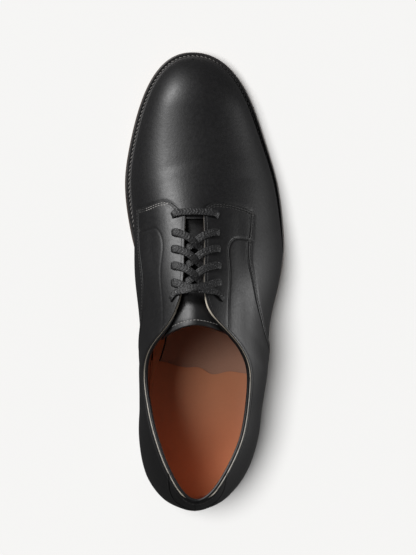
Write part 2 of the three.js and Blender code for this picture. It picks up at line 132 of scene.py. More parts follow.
def roundEnds(y, heelEnd, heelRadius, toeEnd, toeRadius, heelPower=last["planPower"], toePower=last["planPower"]):
    # one superellipse for each end: 1 between the rounds and 0 at the ends
    back = np.clip((heelEnd + heelRadius - y) / heelRadius, 0, 1)
    front = np.clip((y - toeEnd + toeRadius) / toeRadius, 0, 1)
    return (1 - back ** heelPower) ** (1 / heelPower) * (1 - front ** toePower) ** (1 / toePower)


def swingAt(share):
    # both ends swing to the big-toe side as squares
    heel = np.clip(1 - share / last["heelSwingEnd"], 0, None)
    toe = np.clip((share - last["toeSwingStart"]) / (1 - last["toeSwingStart"]), 0, None)
    return -last["heelSwing"] * heel ** 2 - last["toeSwing"] * toe ** 2


def bySide(name, share, side):
    return np.where(np.asarray(side) < 0, lastCurve[name + "Med"](share), lastCurve[name + "Lat"](share))


def counterShift(y, rise):
    # a parabola up the counter that swells out low down and leans in at its top, fading along the shoe
    swell = (2 * last["counterSwell"] + last["counterLean"]
             + 2 * math.sqrt(last["counterSwell"] * (last["counterSwell"] + last["counterLean"])))
    up = rise / last["counterHeight"]
    fade = np.clip(1 - (y - heelLedge) / last["counterReach"], 0, 1) ** 2
    return (swell * up * up + (last["counterLean"] - swell) * up) * fade


def lastPoint(y, climb, side, inset=0.0):
    # each side of a section is one cubic curve, from the foot line at climb 0
    # over belly and shoulder to the crest at 1
    y, climb, side = np.broadcast_arrays(np.asarray(y, float), np.asarray(climb, float), np.asarray(side, float))
    share = y / last["soleLength"]
    width = widthAt(share)
    toeEnd = toeEdge - inset
    toeRadius = last["toeRound"] - last["ledgeWidth"] - inset

    def ends(radius, power=last["counterPower"]):
        return roundEnds(y, heelLedge + inset, radius - inset, toeEnd, toeRadius, power)

    foot = bySide("sole", share, side) * width - lastCurve["ledge"](share) * last["ledgeWidth"] - inset
    foot = foot * ends(last["heelRound"] - heelLedge, last["planPower"])
    belly = (bySide("belly", share, side) * width - inset) * ends(last["bellyRound"])
    shoulder = (bySide("shoulder", share, side) * width - inset / 2) * ends(last["crestRound"])
    dome = np.clip((y - toeEnd + last["toeDome"] - inset) / (last["toeDome"] - inset), 0, 1)
    crest = lastCurve["crest"](share) * last["instepHeight"] - inset
    crest = crest * (1 - dome ** last["domePower"]) ** (1 / last["domePower"])
    bellyHeight = lastCurve["bellyHigh"](share) * (crest + inset) - inset / 3
    q = np.clip(climb, 0, None)
    low, lift, top = (1 - q) ** 3, 3 * (1 - q) ** 2 * q, 3 * (1 - q) * q * q
    bellyPull = foot + (belly - foot + 9 / 64 * (foot - shoulder)) * 64 / 27
    x = (side * (low * foot + lift * bellyPull + top * shoulder) + (low + lift) * swingAt(share)
         + (top + q ** 3) * lastCurve["crestX"](share) * width)
    rise = lift * bellyHeight + (top + q ** 3) * crest
    z = rise + np.clip(climb, None, 0) * last["instepHeight"] + footLineAt(y)
    return np.stack([x, y + counterShift(y, rise), z], -1)


def unit(v):
    return v / np.maximum(np.linalg.norm(v, axis=-1, keepdims=True), 1e-9)


def runOf(points):
    # the length run along the points, up to each of them
    return np.concatenate([[0], np.cumsum(np.linalg.norm(np.diff(points, axis=0), axis=1))])


def sampled(values, far, at):
    return np.stack([np.interp(at, far, column) for column in values.T], -1)


def outwardAt(y, climb, side):
    # the cross product of the steps along and up the last, turned outwards
    y, climb, side = np.broadcast_arrays(np.asarray(y, float), np.asarray(climb, float), np.asarray(side, float))
    along = lastPoint(y + .3, climb, side) - lastPoint(y - .3, climb, side)
    up = lastPoint(y, climb + .01, side) - lastPoint(y, climb - .01, side)
    normal = np.cross(along, up) * side[..., None]
    ends = (y < heelLedge + .01) | (y > toeEdge - .01)
    normal[..., 0] = np.where(ends, 0, normal[..., 0])
    return unit(normal)


def surfaceAt(share, climb, side):
    y = np.asarray(share) * last["soleLength"]
    return lastPoint(y, climb, side), outwardAt(y, climb, side)


# ---- relief of the leather: soft troughs at listed places, and grooves along seams

# place as share and climb, turn in degrees from the shoe's length, lengths in mm; a negative depth is a ridge
creaseColumns = ["share", "climb", "side", "turn", "length", "width", "depth"]
creases = [dict(zip(creaseColumns, row)) for row in (
    (.735, .80, -1, 78, 17, 4.3, .17),
    (.718, .84, -1, 80, 15, 4.6, -.11),
    (.700, .72, -1, 74, 13, 4.1, .13),
    (.760, .88, 1, 98, 18, 4.9, .14),
    (.742, .78, 1, 102, 15, 4.3, -.10),
    (.712, .62, 1, 106, 14, 4.1, .13),
    (.560, .66, 1, 4, 26, 5.5, .55),
    (.470, .58, 1, 8, 30, 6.0, .45),
    (.560, .60, -1, -4, 24, 5.0, .45),
    (.450, .55, -1, -8, 26, 6.0, .40),
    (.330, .34, 1, 62, 18, 4.0, .35),
    (.300, .36, 1, 66, 16, 3.6, -.22),
    (.320, .30, -1, 60, 17, 4.0, .35),
    (.215, .34, 1, 76, 16, 4.2, .28),
    (.215, .32, -1, 76, 16, 4.2, .28),
)]


def troughs(points):
    # each trough is a bell in the plane of the leather: long one way and narrow the other
    depth = np.zeros(points.shape[:-1])
    for c in creases:
        middle, normal = surfaceAt(c["share"], c["climb"], c["side"])
        along = unit(lastPoint(c["share"] * last["soleLength"] + 1, c["climb"], c["side"]) - middle)
        up = unit(np.cross(normal, along)) * c["side"]
        turn = math.radians(c["turn"])
        way = math.cos(turn) * along + math.sin(turn) * up
        gap = points - middle
        far = (gap @ way) / c["length"]
        wide = (gap @ np.cross(normal, way)) / c["width"]
        depth += c["depth"] * np.exp(-far ** 2 - wide ** 2 - ((gap @ normal) / 14) ** 2)
    return depth


def distanceTo(points, path):
    # the shortest distance from every point to the path's straight spans
    flat = points.reshape(-1, 3)
    best = np.full(len(flat), 1e9)
    for a, b in zip(path[:-1], path[1:]):
        way = b - a
        s = np.clip(((flat - a) @ way) / max(way @ way, 1e-9), 0, 1)
        best = np.minimum(best, np.linalg.norm(flat - a - s[:, None] * way, axis=1))
    return best.reshape(points.shape[:-1])


def skin(share, climb, side, lift, grooves=()):
    # the last's surface pushed out by lift, less the troughs and the grooves (path, depth, width)
    base, normal = surfaceAt(share, climb, side)
    dent = troughs(base)
    for path, depth, width in grooves:
        dent = dent + depth * np.exp(-(distanceTo(base, path) / width) ** 2)
    return base + normal * (lift - dent)[..., None]


# ---- meshes from grids of points

def toRow(points):
    return (np.asarray(points).reshape(-1, 3) + np.array(last["centre"])) / 1000


def gridFaces(rows, columns, start=0, flip=False, wrap=False):
    i, j = np.meshgrid(np.arange(rows - 1), np.arange(columns if wrap else columns - 1), indexing="ij")
    k = (j + 1) % columns
    quads = np.stack([i * columns + j, (i + 1) * columns + j, (i + 1) * columns + k, i * columns + k], -1)
    quads = quads.reshape(-1, 4) + start
    return quads[:, ::-1] if flip else quads


def makePiece(name, points, quads, materials, node, faceMaterial=None, uv=None, sharp=40):
    points = toRow(points)
    data = bpy.data.meshes.new(name)
    data.vertices.add(len(points))
    data.vertices.foreach_set("co", points.ravel())
    data.loops.add(quads.size)
    data.loops.foreach_set("vertex_index", quads.ravel().astype(np.int32))
    data.polygons.add(len(quads))
    data.polygons.foreach_set("loop_start", np.arange(len(quads), dtype=np.int32) * 4)
    data.polygons.foreach_set("loop_total", np.full(len(quads), 4, np.int32))
    if faceMaterial is not None:
        data.polygons.foreach_set("material_index", np.asarray(faceMaterial, np.int32))
    if uv is not None:
        layer = data.uv_layers.new(name="UVMap")
        layer.data.foreach_set("uv", uv.reshape(-1, 2)[quads.ravel()].ravel())
    data.update(calc_edges=True)
    data.validate()
    work = bmesh.new()
    work.from_mesh(data)
    bmesh.ops.remove_doubles(work, verts=work.verts, dist=1e-6)
    bmesh.ops.dissolve_degenerate(work, edges=work.edges, dist=1e-7)
    work.to_mesh(data)
    work.free()
    data.polygons.foreach_set("use_smooth", np.ones(len(data.polygons), bool))
    data.set_sharp_from_angle(angle=math.radians(sharp))
    piece = bpy.data.objects.new(name, data)
    bpy.context.scene.collection.objects.link(piece)
    for material in materials:
        data.materials.append(material)
    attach(piece, "root")
    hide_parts(node)
    return piece


def makeShell(name, outer, inner, flip, materials, slot, node, marks=(0, 0, 0, 0, 0)):
    # two grids and four strips between their borders; marks are the materials of inner, start, end, low and high
    rows, columns = outer.shape[:2]
    size = rows * columns
    number = np.arange(size).reshape(rows, columns)

    def strip(border, turned):
        a, b = border[:-1], border[1:]
        quads = np.stack([a, b, b + size, a + size], -1)
        return quads[:, ::-1] if turned else quads

    parts = [gridFaces(rows, columns), gridFaces(rows, columns, size, True), strip(number[0], False),
             strip(number[-1], True), strip(number[:, 0], True), strip(number[:, -1], False)]
    faceMaterial = np.concatenate([np.full(len(p), m) for p, m in zip(parts, (0, *marks))])
    quads = np.concatenate(parts)
    if flip:
        quads = quads[:, ::-1]
    points = np.concatenate([outer.reshape(-1, 3), inner.reshape(-1, 3)])
    return makePiece(name, points, quads, materials, node, faceMaterial)


def spread(length, step, easeIn=0.0, easeOut=0.0):
    # even steps from 0 to 1, gathered towards an end over the length eased there
    def eased(zone):
        count = max(2, int(1.6 * zone / step))
        return zone * (1 - np.cos(np.linspace(0, math.pi / 2, count + 1)))

    middle = np.linspace(easeIn, length - easeOut, max(2, int((length - easeIn - easeOut) / step)) + 1)
    parts = [middle]
    if easeIn:
        parts.insert(0, eased(easeIn)[:-1])
    if easeOut:
        parts.append((length - eased(easeOut)[:-1])[::-1])
    return np.concatenate(parts) / length


def places(*spans):
    # joined even spans, each given as from, to and step
    parts = [np.linspace(a, b, max(2, round((b - a) / step)) + 1)[:-1] for a, b, step in spans]
    return np.concatenate([*parts, [spans[-1][1]]])


def rounded(t, length, radius, low=True, high=True):
    # adds points near each border and says how far a quarter round of that radius has dropped there
    near = radius * np.array([0, .08, .3, .65, 1.0]) / length
    inside = t[(t > near[-1] * 1.2) & (t < 1 - near[-1] * 1.2)]
    s = np.concatenate([near if low else [0.0], inside, (1 - near)[::-1] if high else [1.0]])
    away = np.minimum(s * length if low else radius, (1 - s) * length if high else radius)
    away = np.minimum(away, radius)
    return s, radius - np.sqrt(radius ** 2 - (radius - away) ** 2)


def domainPath(side, rows, count=120):
    # a spline through given (share, climb) rows
    rows = np.asarray(rows, float)
    at = runOf(rows * [300, 90])
    place = splineThrough(at, rows)(np.linspace(0, at[-1], count))
    return place[:, 0], place[:, 1], np.full(count, side)


def onLast(path):
    return surfaceAt(*path)[0]


def shifted(path, distance):
    # the same path moved sideways over the last, solved in share and climb from the local steps
    share, climb, side = path
    y = share * last["soleLength"]
    point, normal = surfaceAt(share, climb, side)
    perShare = (lastPoint(y + .3, climb, side) - lastPoint(y - .3, climb, side)) / (.6 / last["soleLength"])
    perClimb = (lastPoint(y, climb + .005, side) - lastPoint(y, climb - .005, side)) / .01
    away = np.cross(normal, unit(np.gradient(point, axis=0))) * distance
    a, b, c = (perShare ** 2).sum(-1), (perShare * perClimb).sum(-1), (perClimb ** 2).sum(-1)
    d, e = (perShare * away).sum(-1), (perClimb * away).sum(-1)
    span = np.maximum(a * c - b * b, 1e-9)
    return share + (d * c - e * b) / span, climb + (e * a - d * b) / span, side


# ---- materials

class Socket:  # a node's output: an expression on it adds Math nodes
    def __init__(self, maker, out):
        self.maker, self.out = maker, out

    def math(self, operation, *values):
        return self.maker.node("ShaderNodeMath", {"operation": operation}, dict(enumerate(values)))

    def __add__(self, other): return self.math("ADD", self, other)
    def __radd__(self, other): return self.math("ADD", other, self)
    def __rsub__(self, other): return self.math("SUBTRACT", other, self)
    def __mul__(self, other): return self.math("MULTIPLY", self, other)

    def sine(self):
        return self.math("SINE", self)

    def within(self, low, high):
        # 0 below low, 1 above high and smooth between
        return self.maker.node("ShaderNodeMapRange", {"interpolation_type": "SMOOTHSTEP"},
                               {"Value": self, "From Min": low, "From Max": high})


class Maker:  # a material's tree, with one method for every node
    def __init__(self, name):
        self.material = bpy.data.materials.new(name)
        self.material.use_nodes = True
        self.tree = self.material.node_tree
        self.shader = next(n for n in self.tree.nodes if n.type == "BSDF_PRINCIPLED")

    def feed(self, socket, value):
        if isinstance(value, Socket):
            self.tree.links.new(value.out, socket)
        else:
            socket.default_value = value

    def node(self, kind, settings=None, inputs=None, out=0):
        item = self.tree.nodes.new(kind)
        for name, value in (settings or {}).items():
            setattr(item, name, value)
        for name, value in (inputs or {}).items():
            self.feed(item.inputs[name], value)
        return Socket(self, item.outputs[out])

    def place(self):
        return self.node("ShaderNodeTexCoord", out="Object")

    def noise(self, scale, detail=2.0):
        return self.node("ShaderNodeTexNoise", None, {"Vector": self.place(), "Scale": scale, "Detail": detail}, "Fac")

    def cells(self, scale, feature="SMOOTH_F1"):
        inputs = {"Vector": self.place(), "Scale": scale}
        return self.node("ShaderNodeTexVoronoi", {"feature": feature}, inputs, "Distance")

    def axis(self, name, where=None):
        return self.node("ShaderNodeSeparateXYZ", None, {0: where or self.place()}, name)

    def mix(self, share, a, b):
        # sockets 6 and 7 are the two colours, and the third output is the mixed one
        a, b = [(*value, 1) if isinstance(value, tuple) else value for value in (a, b)]
        return self.node("ShaderNodeMix", {"data_type": "RGBA"}, {"Factor": share, 6: a, 7: b}, 2)

    def bump(self, height, distance, strength=1.0):
        inputs = {"Height": height, "Distance": distance, "Strength": strength}
        return self.node("ShaderNodeBump", None, inputs, "Normal")

    def finish(self, **inputs):
        names = {"color": "Base Color", "rough": "Roughness", "normal": "Normal", "coat": "Coat Weight",
                 "coatRough": "Coat Roughness", "sheen": "Sheen Weight", "specular": "Specular IOR Level"}
        for name, value in inputs.items():
            if isinstance(value, tuple):
                value = (*value, 1)
            self.feed(self.shader.inputs[names[name]], value)
        return self.material


calfLook = {"dark": (.0026, .0026, .0031), "pale": (.0095, .0092, .0096), "rough": .34,
            "grain": 900.0, "depth": .00008}
liningLook = {"tan": (.54, .225, .125), "tanDark": (.43, .165, .090), "front": (.50, .255, .165),
              "frontDark": (.36, .170, .105), "frontStart": -.065, "grain": 1300.0, "depth": .00006}


def makeCalf():
    m = Maker("blackCalf")
    broad = m.noise(18.0, 3.0)
    patchy = m.noise(95.0, 4.0)
    grain = m.cells(calfLook["grain"])
    pores = m.noise(3200.0, 2.0)
    mottle = m.noise(420.0, 3.0)
    color = m.mix(broad * .35 + mottle * .65, calfLook["dark"], calfLook["pale"])
    rough = calfLook["rough"] + broad * .08 + mottle * .14 + grain * .06
    return m.finish(color=color, rough=rough, coat=.05, coatRough=.26, specular=.42,
                    normal=m.bump(grain * .6 + pores * .4 + mottle * .9 + patchy * .8, calfLook["depth"], .8))


def makeLining():
    m = Maker("liningLeather")
    along = m.axis("Y")
    broad = m.noise(26.0, 4.0)
    fine = m.noise(420.0, 3.0)
    grain = m.cells(liningLook["grain"])
    rear = m.mix(broad, liningLook["tanDark"], liningLook["tan"])
    front = m.mix(fine * .5 + broad * .5, liningLook["frontDark"], liningLook["front"])
    ahead = (along + broad * .004).within(liningLook["frontStart"], liningLook["frontStart"] + .004)
    return m.finish(color=m.mix(ahead, rear, front), rough=.56 + broad * .14 + fine * .05,
                    normal=m.bump(grain * .8 + fine * .7, liningLook["depth"], .8))


def makePlain(name, broad, fine, colors, share, rough, height, depth, strength=.8, grain=None):
    # two noises, mixed by (broad, fine) weights in colour, in roughness after its base, and in height
    m = Maker(name)
    broad, fine = m.noise(*broad), m.noise(*fine)
    high = broad * height[0] + fine * height[1]
    if grain:
        high = high + m.cells(grain[0]) * grain[1]
    return m.finish(color=m.mix(broad * share[0] + fine * share[1], *colors),
                    rough=rough[0] + broad * rough[1] + fine * rough[2], normal=m.bump(high, depth, strength))


def makeRawEdge():
    # cut leather: cream beside the tongue's top and dull ahead of it
    m = Maker("rawEdge")
    fibre = m.noise(1100.0, 4.0)
    patchy = m.noise(160.0, 3.0)
    along = m.axis("Y")
    uneven = fibre * .5 + patchy * .5
    dull = m.mix(uneven, (.040, .035, .030), (.150, .132, .110))
    cream = m.mix(uneven, (.34, .30, .24), (.66, .60, .50))
    color = m.mix(along.within(-.018, -.006), cream, dull)
    return m.finish(color=color, rough=.72 + fibre * .1, normal=m.bump(fibre, .0001, .8))


def makeSoleLeather():
    # the tread is the plain face of the leather, and its edge is stained and waxed
    m = Maker("soleLeather")
    facing = m.axis("Z", m.node("ShaderNodeNewGeometry", out="Normal"))
    under = (0 - facing).within(.45, .8)
    broad = m.noise(24.0, 4.0)
    fibre = m.noise(1300.0, 4.0)
    pores = m.cells(900.0, "F1")
    edge = m.mix(broad, (.028, .019, .014), (.070, .047, .034))
    tread = m.mix(broad * .7 + fibre * .3, (.26, .155, .085), (.40, .255, .150))
    return m.finish(color=m.mix(under, edge, tread), rough=.46 + fibre * .10 + under * .14,
                    normal=m.bump(fibre * .6 + pores * .5, .00006, .8))


def makeHeelLeather():
    m = Maker("heelLeather")
    height = m.axis("Z")
    layers = ((height + m.noise(35.0) * .0006) * 3900).sine()
    broad = m.noise(40.0, 3.0)
    color = m.mix(layers * .22 + broad * .55, (.011, .0085, .0078), (.040, .030, .025))
    return m.finish(color=color, rough=.40 + broad * .12,
                    normal=m.bump(layers * .5 + m.noise(1200.0) * .6, .00006, .8))


def makeLaceCotton():
    # two families of ridges that meet in chevrons at the middle of the flat lace; the colour is paler on the ridges'
    # tops and in glinting patches, as painted highlights
    m = Maker("laceCotton")
    uv = m.node("ShaderNodeTexCoord", out="UV")
    around, along = m.axis("X", uv), m.axis("Y", uv)
    across = around.math("PINGPONG", around * 4, .5)
    ridge = ((along + across * 1.1) * 2 * math.pi * .90).sine() * .5 + .5
    strands = (around * 2 * math.pi * 12).sine() * .5 + .5
    fuzz = m.noise(2600.0, 3.0)
    glinting = m.noise(620.0, 2.0).within(.48, .68)
    # painted highlights: the ridges' tops and the glinting patches are paler
    color = m.mix(ridge * .2 + glinting * .6, (.0026, .0026, .0030), (.017, .0166, .0174))
    height = ridge * .45 + strands * .35 + glinting * .8 + fuzz * .3
    return m.finish(color=color, rough=.56 - glinting * .24 + fuzz * .1, normal=m.bump(height, .00022, .9), specular=.45)


def makeThread(name, dark, pale, shadedSide=None):
    # shadedSide: painted shade, a darker colour for the thread on the little-toe side, away from the light
    m = Maker(name)
    twist = m.noise(2400.0, 2.0)
    color = m.mix(twist, dark, pale)
    if shadedSide:
        color = m.mix(m.axis("X").within(-.002, .014), color, shadedSide)
    return m.finish(color=color, rough=.5 + twist * .15, normal=m.bump(twist, .00008, .8))


calf, lining, rawEdge, laceCotton = makeCalf(), makeLining(), makeRawEdge(), makeLaceCotton()
soleLeather, heelLeather = makeSoleLeather(), makeHeelLeather()
sockLeather = makePlain("sockLeather", (20.0, 4.0), (500.0, 3.0), ((.60, .235, .115), (.80, .345, .170)),
                        (.8, .2), (.46, .12, 0), (0, .6), .00005, grain=(1250.0, .7))
insoleLeather = makePlain("insoleLeather", (30.0, 4.0), (900.0, 4.0), ((.42, .220, .145), (.60, .350, .245)),
                          (.6, .4), (.68, 0, .1), (0, 1), .00008)
weltLeather = makePlain("weltLeather", (60.0, 3.0), (1500.0, 3.0), ((.010, .0098, .0105), (.030, .028, .028)),
                        (1, 0), (.42, .12, .05), (1, 1), .00007)
rubber = makePlain("heelRubber", (70.0, 3.0), (1600.0, 3.0), ((.010, .010, .010), (.026, .0255, .025)),
                   (1, 0), (.66, 0, .14), (0, 1), .00009, .9)
# pale: partly the cut edge's colour, partly a painted highlight along the collar's rolled edge
paintedCollarHighlight = makePlain("paintedCollarHighlight", (150.0, 3.0), (1500.0, 2.0), ((.20, .185, .165), (.62, .58, .52)),
                        (1, 0), (.34, .12, 0), (0, 1), .00005)
blackThread = makeThread("blackThread", (.014, .0135, .0135), (.060, .058, .056))
# pale grey thread: a painted glint, where the black thread catches the light
paintedGlintThread = makeThread("paintedGlintThread", (.13, .125, .12), (.44, .42, .40))
# near black, for cords of painted shade that stand in for the shadow in seams' grooves and beside lapped edges
paintedSeamShade = makeThread("paintedSeamShade", (.0016, .0016, .0018), (.0038, .0038, .0040))
# the welt's thread is painted lighter on the big-toe side, where the light falls, and painted darker on the little-toe
# side
weltThread = makeThread("weltThread", (.045, .042, .040), (.190, .180, .168), (.010, .0095, .0095))
print("materials made")


# ---- seams and lines on the upper, as listed (share, climb) rows

quarter = {
    "step": .95, "fineStep": .42, "fineFrom": .87, "edgeRound": .45, "heelEase": 34.0, "bevel": .002, "backFade": 7.0,
    "high": 85.0, "collarRow": .020, "facingRow": 1.9, "tabRow": 2.6, "glintSpan": slice(18, 48),
    "eyestayGroove": {-1: (.17, .80), 1: (.28, .80)}, "stayGroove": (.40, .60), "secondGroove": (.50, .60),
    "firstGroove": (.14, .50), "tabGroove": (.22, .50), "innerLift": .12, "innerDrop": 1.05,
    "tabMed": [[0, .646], [.12, .647], [.42, .654], [.68, .660], [.81, .652], [.95, .634], [1, .628]],
    "tabLat": [[0, .637], [.375, .651], [.69, .656], [.87, .652], [1, .639]],
    "secondRow": 3.3, "firstRow": 1.2, "hidden": -.030,
}
upSpans = [(0, .12, .0048), (.12, .42, .015), (.42, .70, .0078), (.70, .94, .015), (.94, 1, .006)]
backstayRows = [[.076, .600], [.052, .525], [.028, .455], [.0067, .415]]
eyestayRows = {
    -1: [[.386, .677], [.453, .680], [.527, .697], [.580, .712], [.601, .655], [.598, .560], [.595, .483]],
    1: [[.388, .713], [.454, .717], [.526, .730], [.560, .738], [.578, .705], [.580, .640], [.574, .547]],
}


def frontAt(v, side):
    rows = np.array(quarter["tabMed" if side < 0 else "tabLat"])
    return splineThrough(rows[:, 0], rows[:, 1])(v)


def quarterPlace(along, v, side):
    # lines of equal share from the lower edge to the rim, sheared forward to the tab's curved front
    start = heelLedge / last["soleLength"]
    share = start + along * (frontAt(v, side) - start)
    seamed = smoothStep(share, .3085, .3105)
    seam = np.maximum(seamCurve[side](np.clip(share, seamRows[0, 0], seamRows[-1, 0])), quarter["hidden"])
    low = quarter["hidden"] * (1 - seamed) + seam * seamed
    return share, low + v * (rimCurve[side](np.clip(share, 0, .66)) - low)


def raisedAt(share):
    # the raised layer thins out towards the back seam
    y = np.asarray(share) * last["soleLength"]
    return last["overlay"] * smoothStep(y, heelLedge, heelLedge + quarter["backFade"])


def facingPath(side, start, count=150):
    share = np.linspace(start, .405, count)
    return shifted((share, rimCurve[side](share), np.full(count, side)), side * quarter["facingRow"])


def makeQuarter(name, side):
    long = last["soleLength"] * .64
    even = spread(long, quarter["step"], easeIn=quarter["heelEase"])
    fine = places((quarter["fineFrom"], 1, quarter["fineStep"] / long))
    even = np.concatenate([even[even < quarter["fineFrom"]], fine])
    along, dropAlong = rounded(even, long, quarter["edgeRound"])
    v, dropUp = rounded(places(*upSpans), quarter["high"], quarter["edgeRound"])
    share, climb = quarterPlace(along[:, None], v[None, :], side)
    lowRow = np.stack(quarterPlace(np.linspace(.49, 1, 150), np.zeros(150), side))
    lowPath = (lowRow[0], lowRow[1], np.full(150, side))
    tab = np.stack(quarterPlace(np.ones(60), np.linspace(0, .93, 60), side))
    tabPath = (tab[0], tab[1], np.full(60, side))
    grooves = [(onLast(path), *groove) for path, groove in (
        (domainPath(side, eyestayRows[side]), quarter["eyestayGroove"][side]),
        (domainPath(side, backstayRows), quarter["stayGroove"]),
        (shifted(lowPath, side * quarter["secondRow"]), quarter["secondGroove"]),
        (shifted(lowPath, side * quarter["firstRow"]), quarter["firstGroove"]),
        (shifted(tabPath, side * quarter["firstRow"]), quarter["tabGroove"]))]
    outer = skin(share, climb, side, raisedAt(share) - dropAlong[:, None] - dropUp[None, :], grooves)
    # the inner face lies on the layer below, and deeper beside the opening
    deep = smoothStep(v[None, :], .55, .75) * (1 - smoothStep(share, .55, .60))
    # the cut edge beside the throat slopes inwards, so that it shows from above
    slope = quarter["bevel"] * smoothStep(v[None, :], .9, 1) * smoothStep(share, .385, .41)
    inner = skin(share, climb + slope, side, quarter["innerLift"] - quarter["innerDrop"] * deep)
    makeShell(name, outer, inner, side < 0, [calf, rawEdge], "calf", "upper", (0, 0, 0, 0, 1))
    return lowPath, tabPath


# the lower edge and the tab's front of each quarter, which seams and stitches follow
edgePaths = {-1: makeQuarter("quarterMed", -1), 1: makeQuarter("quarterLat", 1)}
print("quarters made")

vamp = {
    "step": 1.15, "across": 104, "reach": 1.030, "tip": (.020, .004, .0008), "thickness": 1.1, "toeEase": 46.0,
    "edgeRound": .35, "lapAside": .5, "lapDepth": .40, "lapWidth": .9,
    "back": [[-.01, .300], [.20, .330], [.39, .385], [.455, .415], [.52, .455], [.573, .500],
             [.62, .545], [.70, .600], [.80, .617], [.90, .6225], [1, .6225]],
}


def makeVamp():
    # rows across the foot, from a back edge hidden under the quarters to the toe
    across = np.linspace(-vamp["reach"], vamp["reach"], vamp["across"] * 2 + 1)
    climb, side = 1 - np.abs(across), np.where(across < 0, -1.0, 1.0)
    rows = np.array(vamp["back"])
    back = splineThrough(rows[:, 0], rows[:, 1])(np.clip(climb, -.01, 1))
    long = last["soleLength"] * .6
    along, drop = rounded(spread(long, vamp["step"], easeOut=vamp["toeEase"]), long, vamp["edgeRound"], high=False)
    # the surface is blunt at its tip, so the last rings lie very near the end
    tip = 1 - np.array(vamp["tip"]) / long
    along, drop = np.concatenate([along[:-1], tip, [1]]), np.concatenate([drop[:-1], [0, 0, 0, 0]])
    share = back[None, :] + along[:, None] * (toeEdge / last["soleLength"] - back[None, :])
    climb, side = np.broadcast_to(climb, share.shape), np.broadcast_to(side, share.shape)
    laps = [(onLast(shifted(path, -edgeSide * vamp["lapAside"])), vamp["lapDepth"], vamp["lapWidth"])
            for edgeSide, paths in edgePaths.items() for path in paths]
    outer = skin(share, climb, side, -drop[:, None] + 0 * share, laps)
    inner = skin(share, climb, side, -vamp["thickness"] + 0 * share)
    makeShell("vamp", outer, inner, True, [calf], "calf", "upper")


makeVamp()
print("vamp made")

liner = {"step": 1.6, "upStep": .016, "thickness": .8, "lowest": -.055, "joinFrom": .632, "joinTo": .668,
         "heelEase": 30.0, "toeEase": 34.0, "underRim": .010}


def makeLiner(name, side):
    # the inner face of the wall, up to the rim behind the throat and to the crest ahead of it
    start, end = (heelLedge + last["wall"]) / last["soleLength"], (toeEdge - last["wall"]) / last["soleLength"]
    long = (end - start) * last["soleLength"]
    share = start + spread(long, liner["step"], liner["heelEase"], liner["toeEase"]) * (end - start)
    edge = rimCurve[side](np.clip(share, 0, rimRows[-1, 0])) - liner["underRim"]
    high = edge + (1 - edge) * smoothStep(share, liner["joinFrom"], liner["joinTo"])
    v = np.arange(0, 1.0001, liner["upStep"])
    v[-1] = 1.0
    climb = liner["lowest"] + v[None, :] * (high[:, None] - liner["lowest"])
    y = (share * last["soleLength"])[:, None] + 0 * climb
    inner = lastPoint(y, climb, side, last["wall"])
    outer = lastPoint(y, climb, side, last["wall"] - liner["thickness"])
    makeShell(name, outer, inner, side < 0, [lining], "sock", "upper")


makeLiner("liningMed", -1)
makeLiner("liningLat", 1)
print("lining made")


# ---- the collar's bound rim, a roll carried along the rim with a pale cut edge outside it, partly a painted highlight

rim = {"halfWall": 1.10, "halfHeight": 1.0, "end": .418, "taper": .030, "middle": -1.02,
       "edgeRadius": .30, "edgeDown": -.002, "edgeLift": .42, "edgeFrom": .035, "edgeTo": .285}


def tube(name, points, aside, up, halfWide, halfHigh, material, node, around, power=1.0, uvScale=1.0):
    # an oval section carried along the points; its ends are drawn together
    turn = np.linspace(0, 2 * math.pi, around, endpoint=False)
    c, s = np.cos(turn), np.sin(turn)
    wide = halfWide[:, None] * np.sign(c) * np.abs(c) ** power
    high = halfHigh[:, None] * np.sign(s) * np.abs(s) ** power
    grid = points[:, None] + aside[:, None] * wide[..., None] + up[:, None] * high[..., None]
    grid = np.concatenate([points[None, :1].repeat(around, 1), grid, points[None, -1:].repeat(around, 1)])
    far = runOf(points)
    far = np.concatenate([far[:1], far, far[-1:]]) * uvScale
    uv = np.stack(np.broadcast_arrays(turn[None, :] / (2 * math.pi), far[:, None]), -1)
    quads = gridFaces(len(grid), around, flip=True, wrap=True)
    makePiece(name, grid, quads, [material], node, uv=uv)


def fadeOut(away, zone, least=.02):
    # the share of a cord's thickness near an end: a round that falls over the zone
    return np.sqrt(np.clip(away / zone, least, 1))


def rimPath(end, count=150):
    start = heelLedge / last["soleLength"]
    half = start + (1 - np.cos(np.linspace(0, math.pi / 2, count))) * (end - start)
    share = np.concatenate([half[::-1], half[1:]])
    side = np.concatenate([np.full(count, -1.0), np.full(count - 1, 1.0)])
    climb = np.where(side < 0, rimCurve[-1](share), rimCurve[1](share))
    return share, climb, side


def makeRim():
    share, climb, side = rimPath(rim["end"], 170)
    base, normal = surfaceAt(share, climb, side)
    points = base + normal * rim["middle"]
    up = -unit(np.cross(normal, unit(np.gradient(points, axis=0))))
    up = np.where(up[:, 2:] < 0, -up, up)
    fade = fadeOut(rim["end"] - share, rim["taper"], .04)
    tube("rimBinding", points, normal, up, rim["halfWall"] * fade, rim["halfHeight"] * fade, calf, "upper", 20)
    # the pale cut edge of the quarter, just outside the roll: its pale colour is partly the cut edge's own and partly a
    # painted highlight of the rolled edge
    for name, side in (("collarEdgeMed", -1), ("collarEdgeLat", 1)):
        share = np.linspace(rim["edgeFrom"], rim["edgeTo"], 150)
        base, normal = surfaceAt(share, rimCurve[side](share) - rim["edgeDown"], side)
        points = base + normal * rim["edgeLift"]
        up = unit(np.cross(normal, unit(np.gradient(points, axis=0))))
        slim = rim["edgeRadius"] * fadeOut(np.minimum(share - rim["edgeFrom"], rim["edgeTo"] - share), .03)
        tube(name, points, normal, up, slim, slim, paintedCollarHighlight, "upper", 10)


makeRim()


# ---- tongue

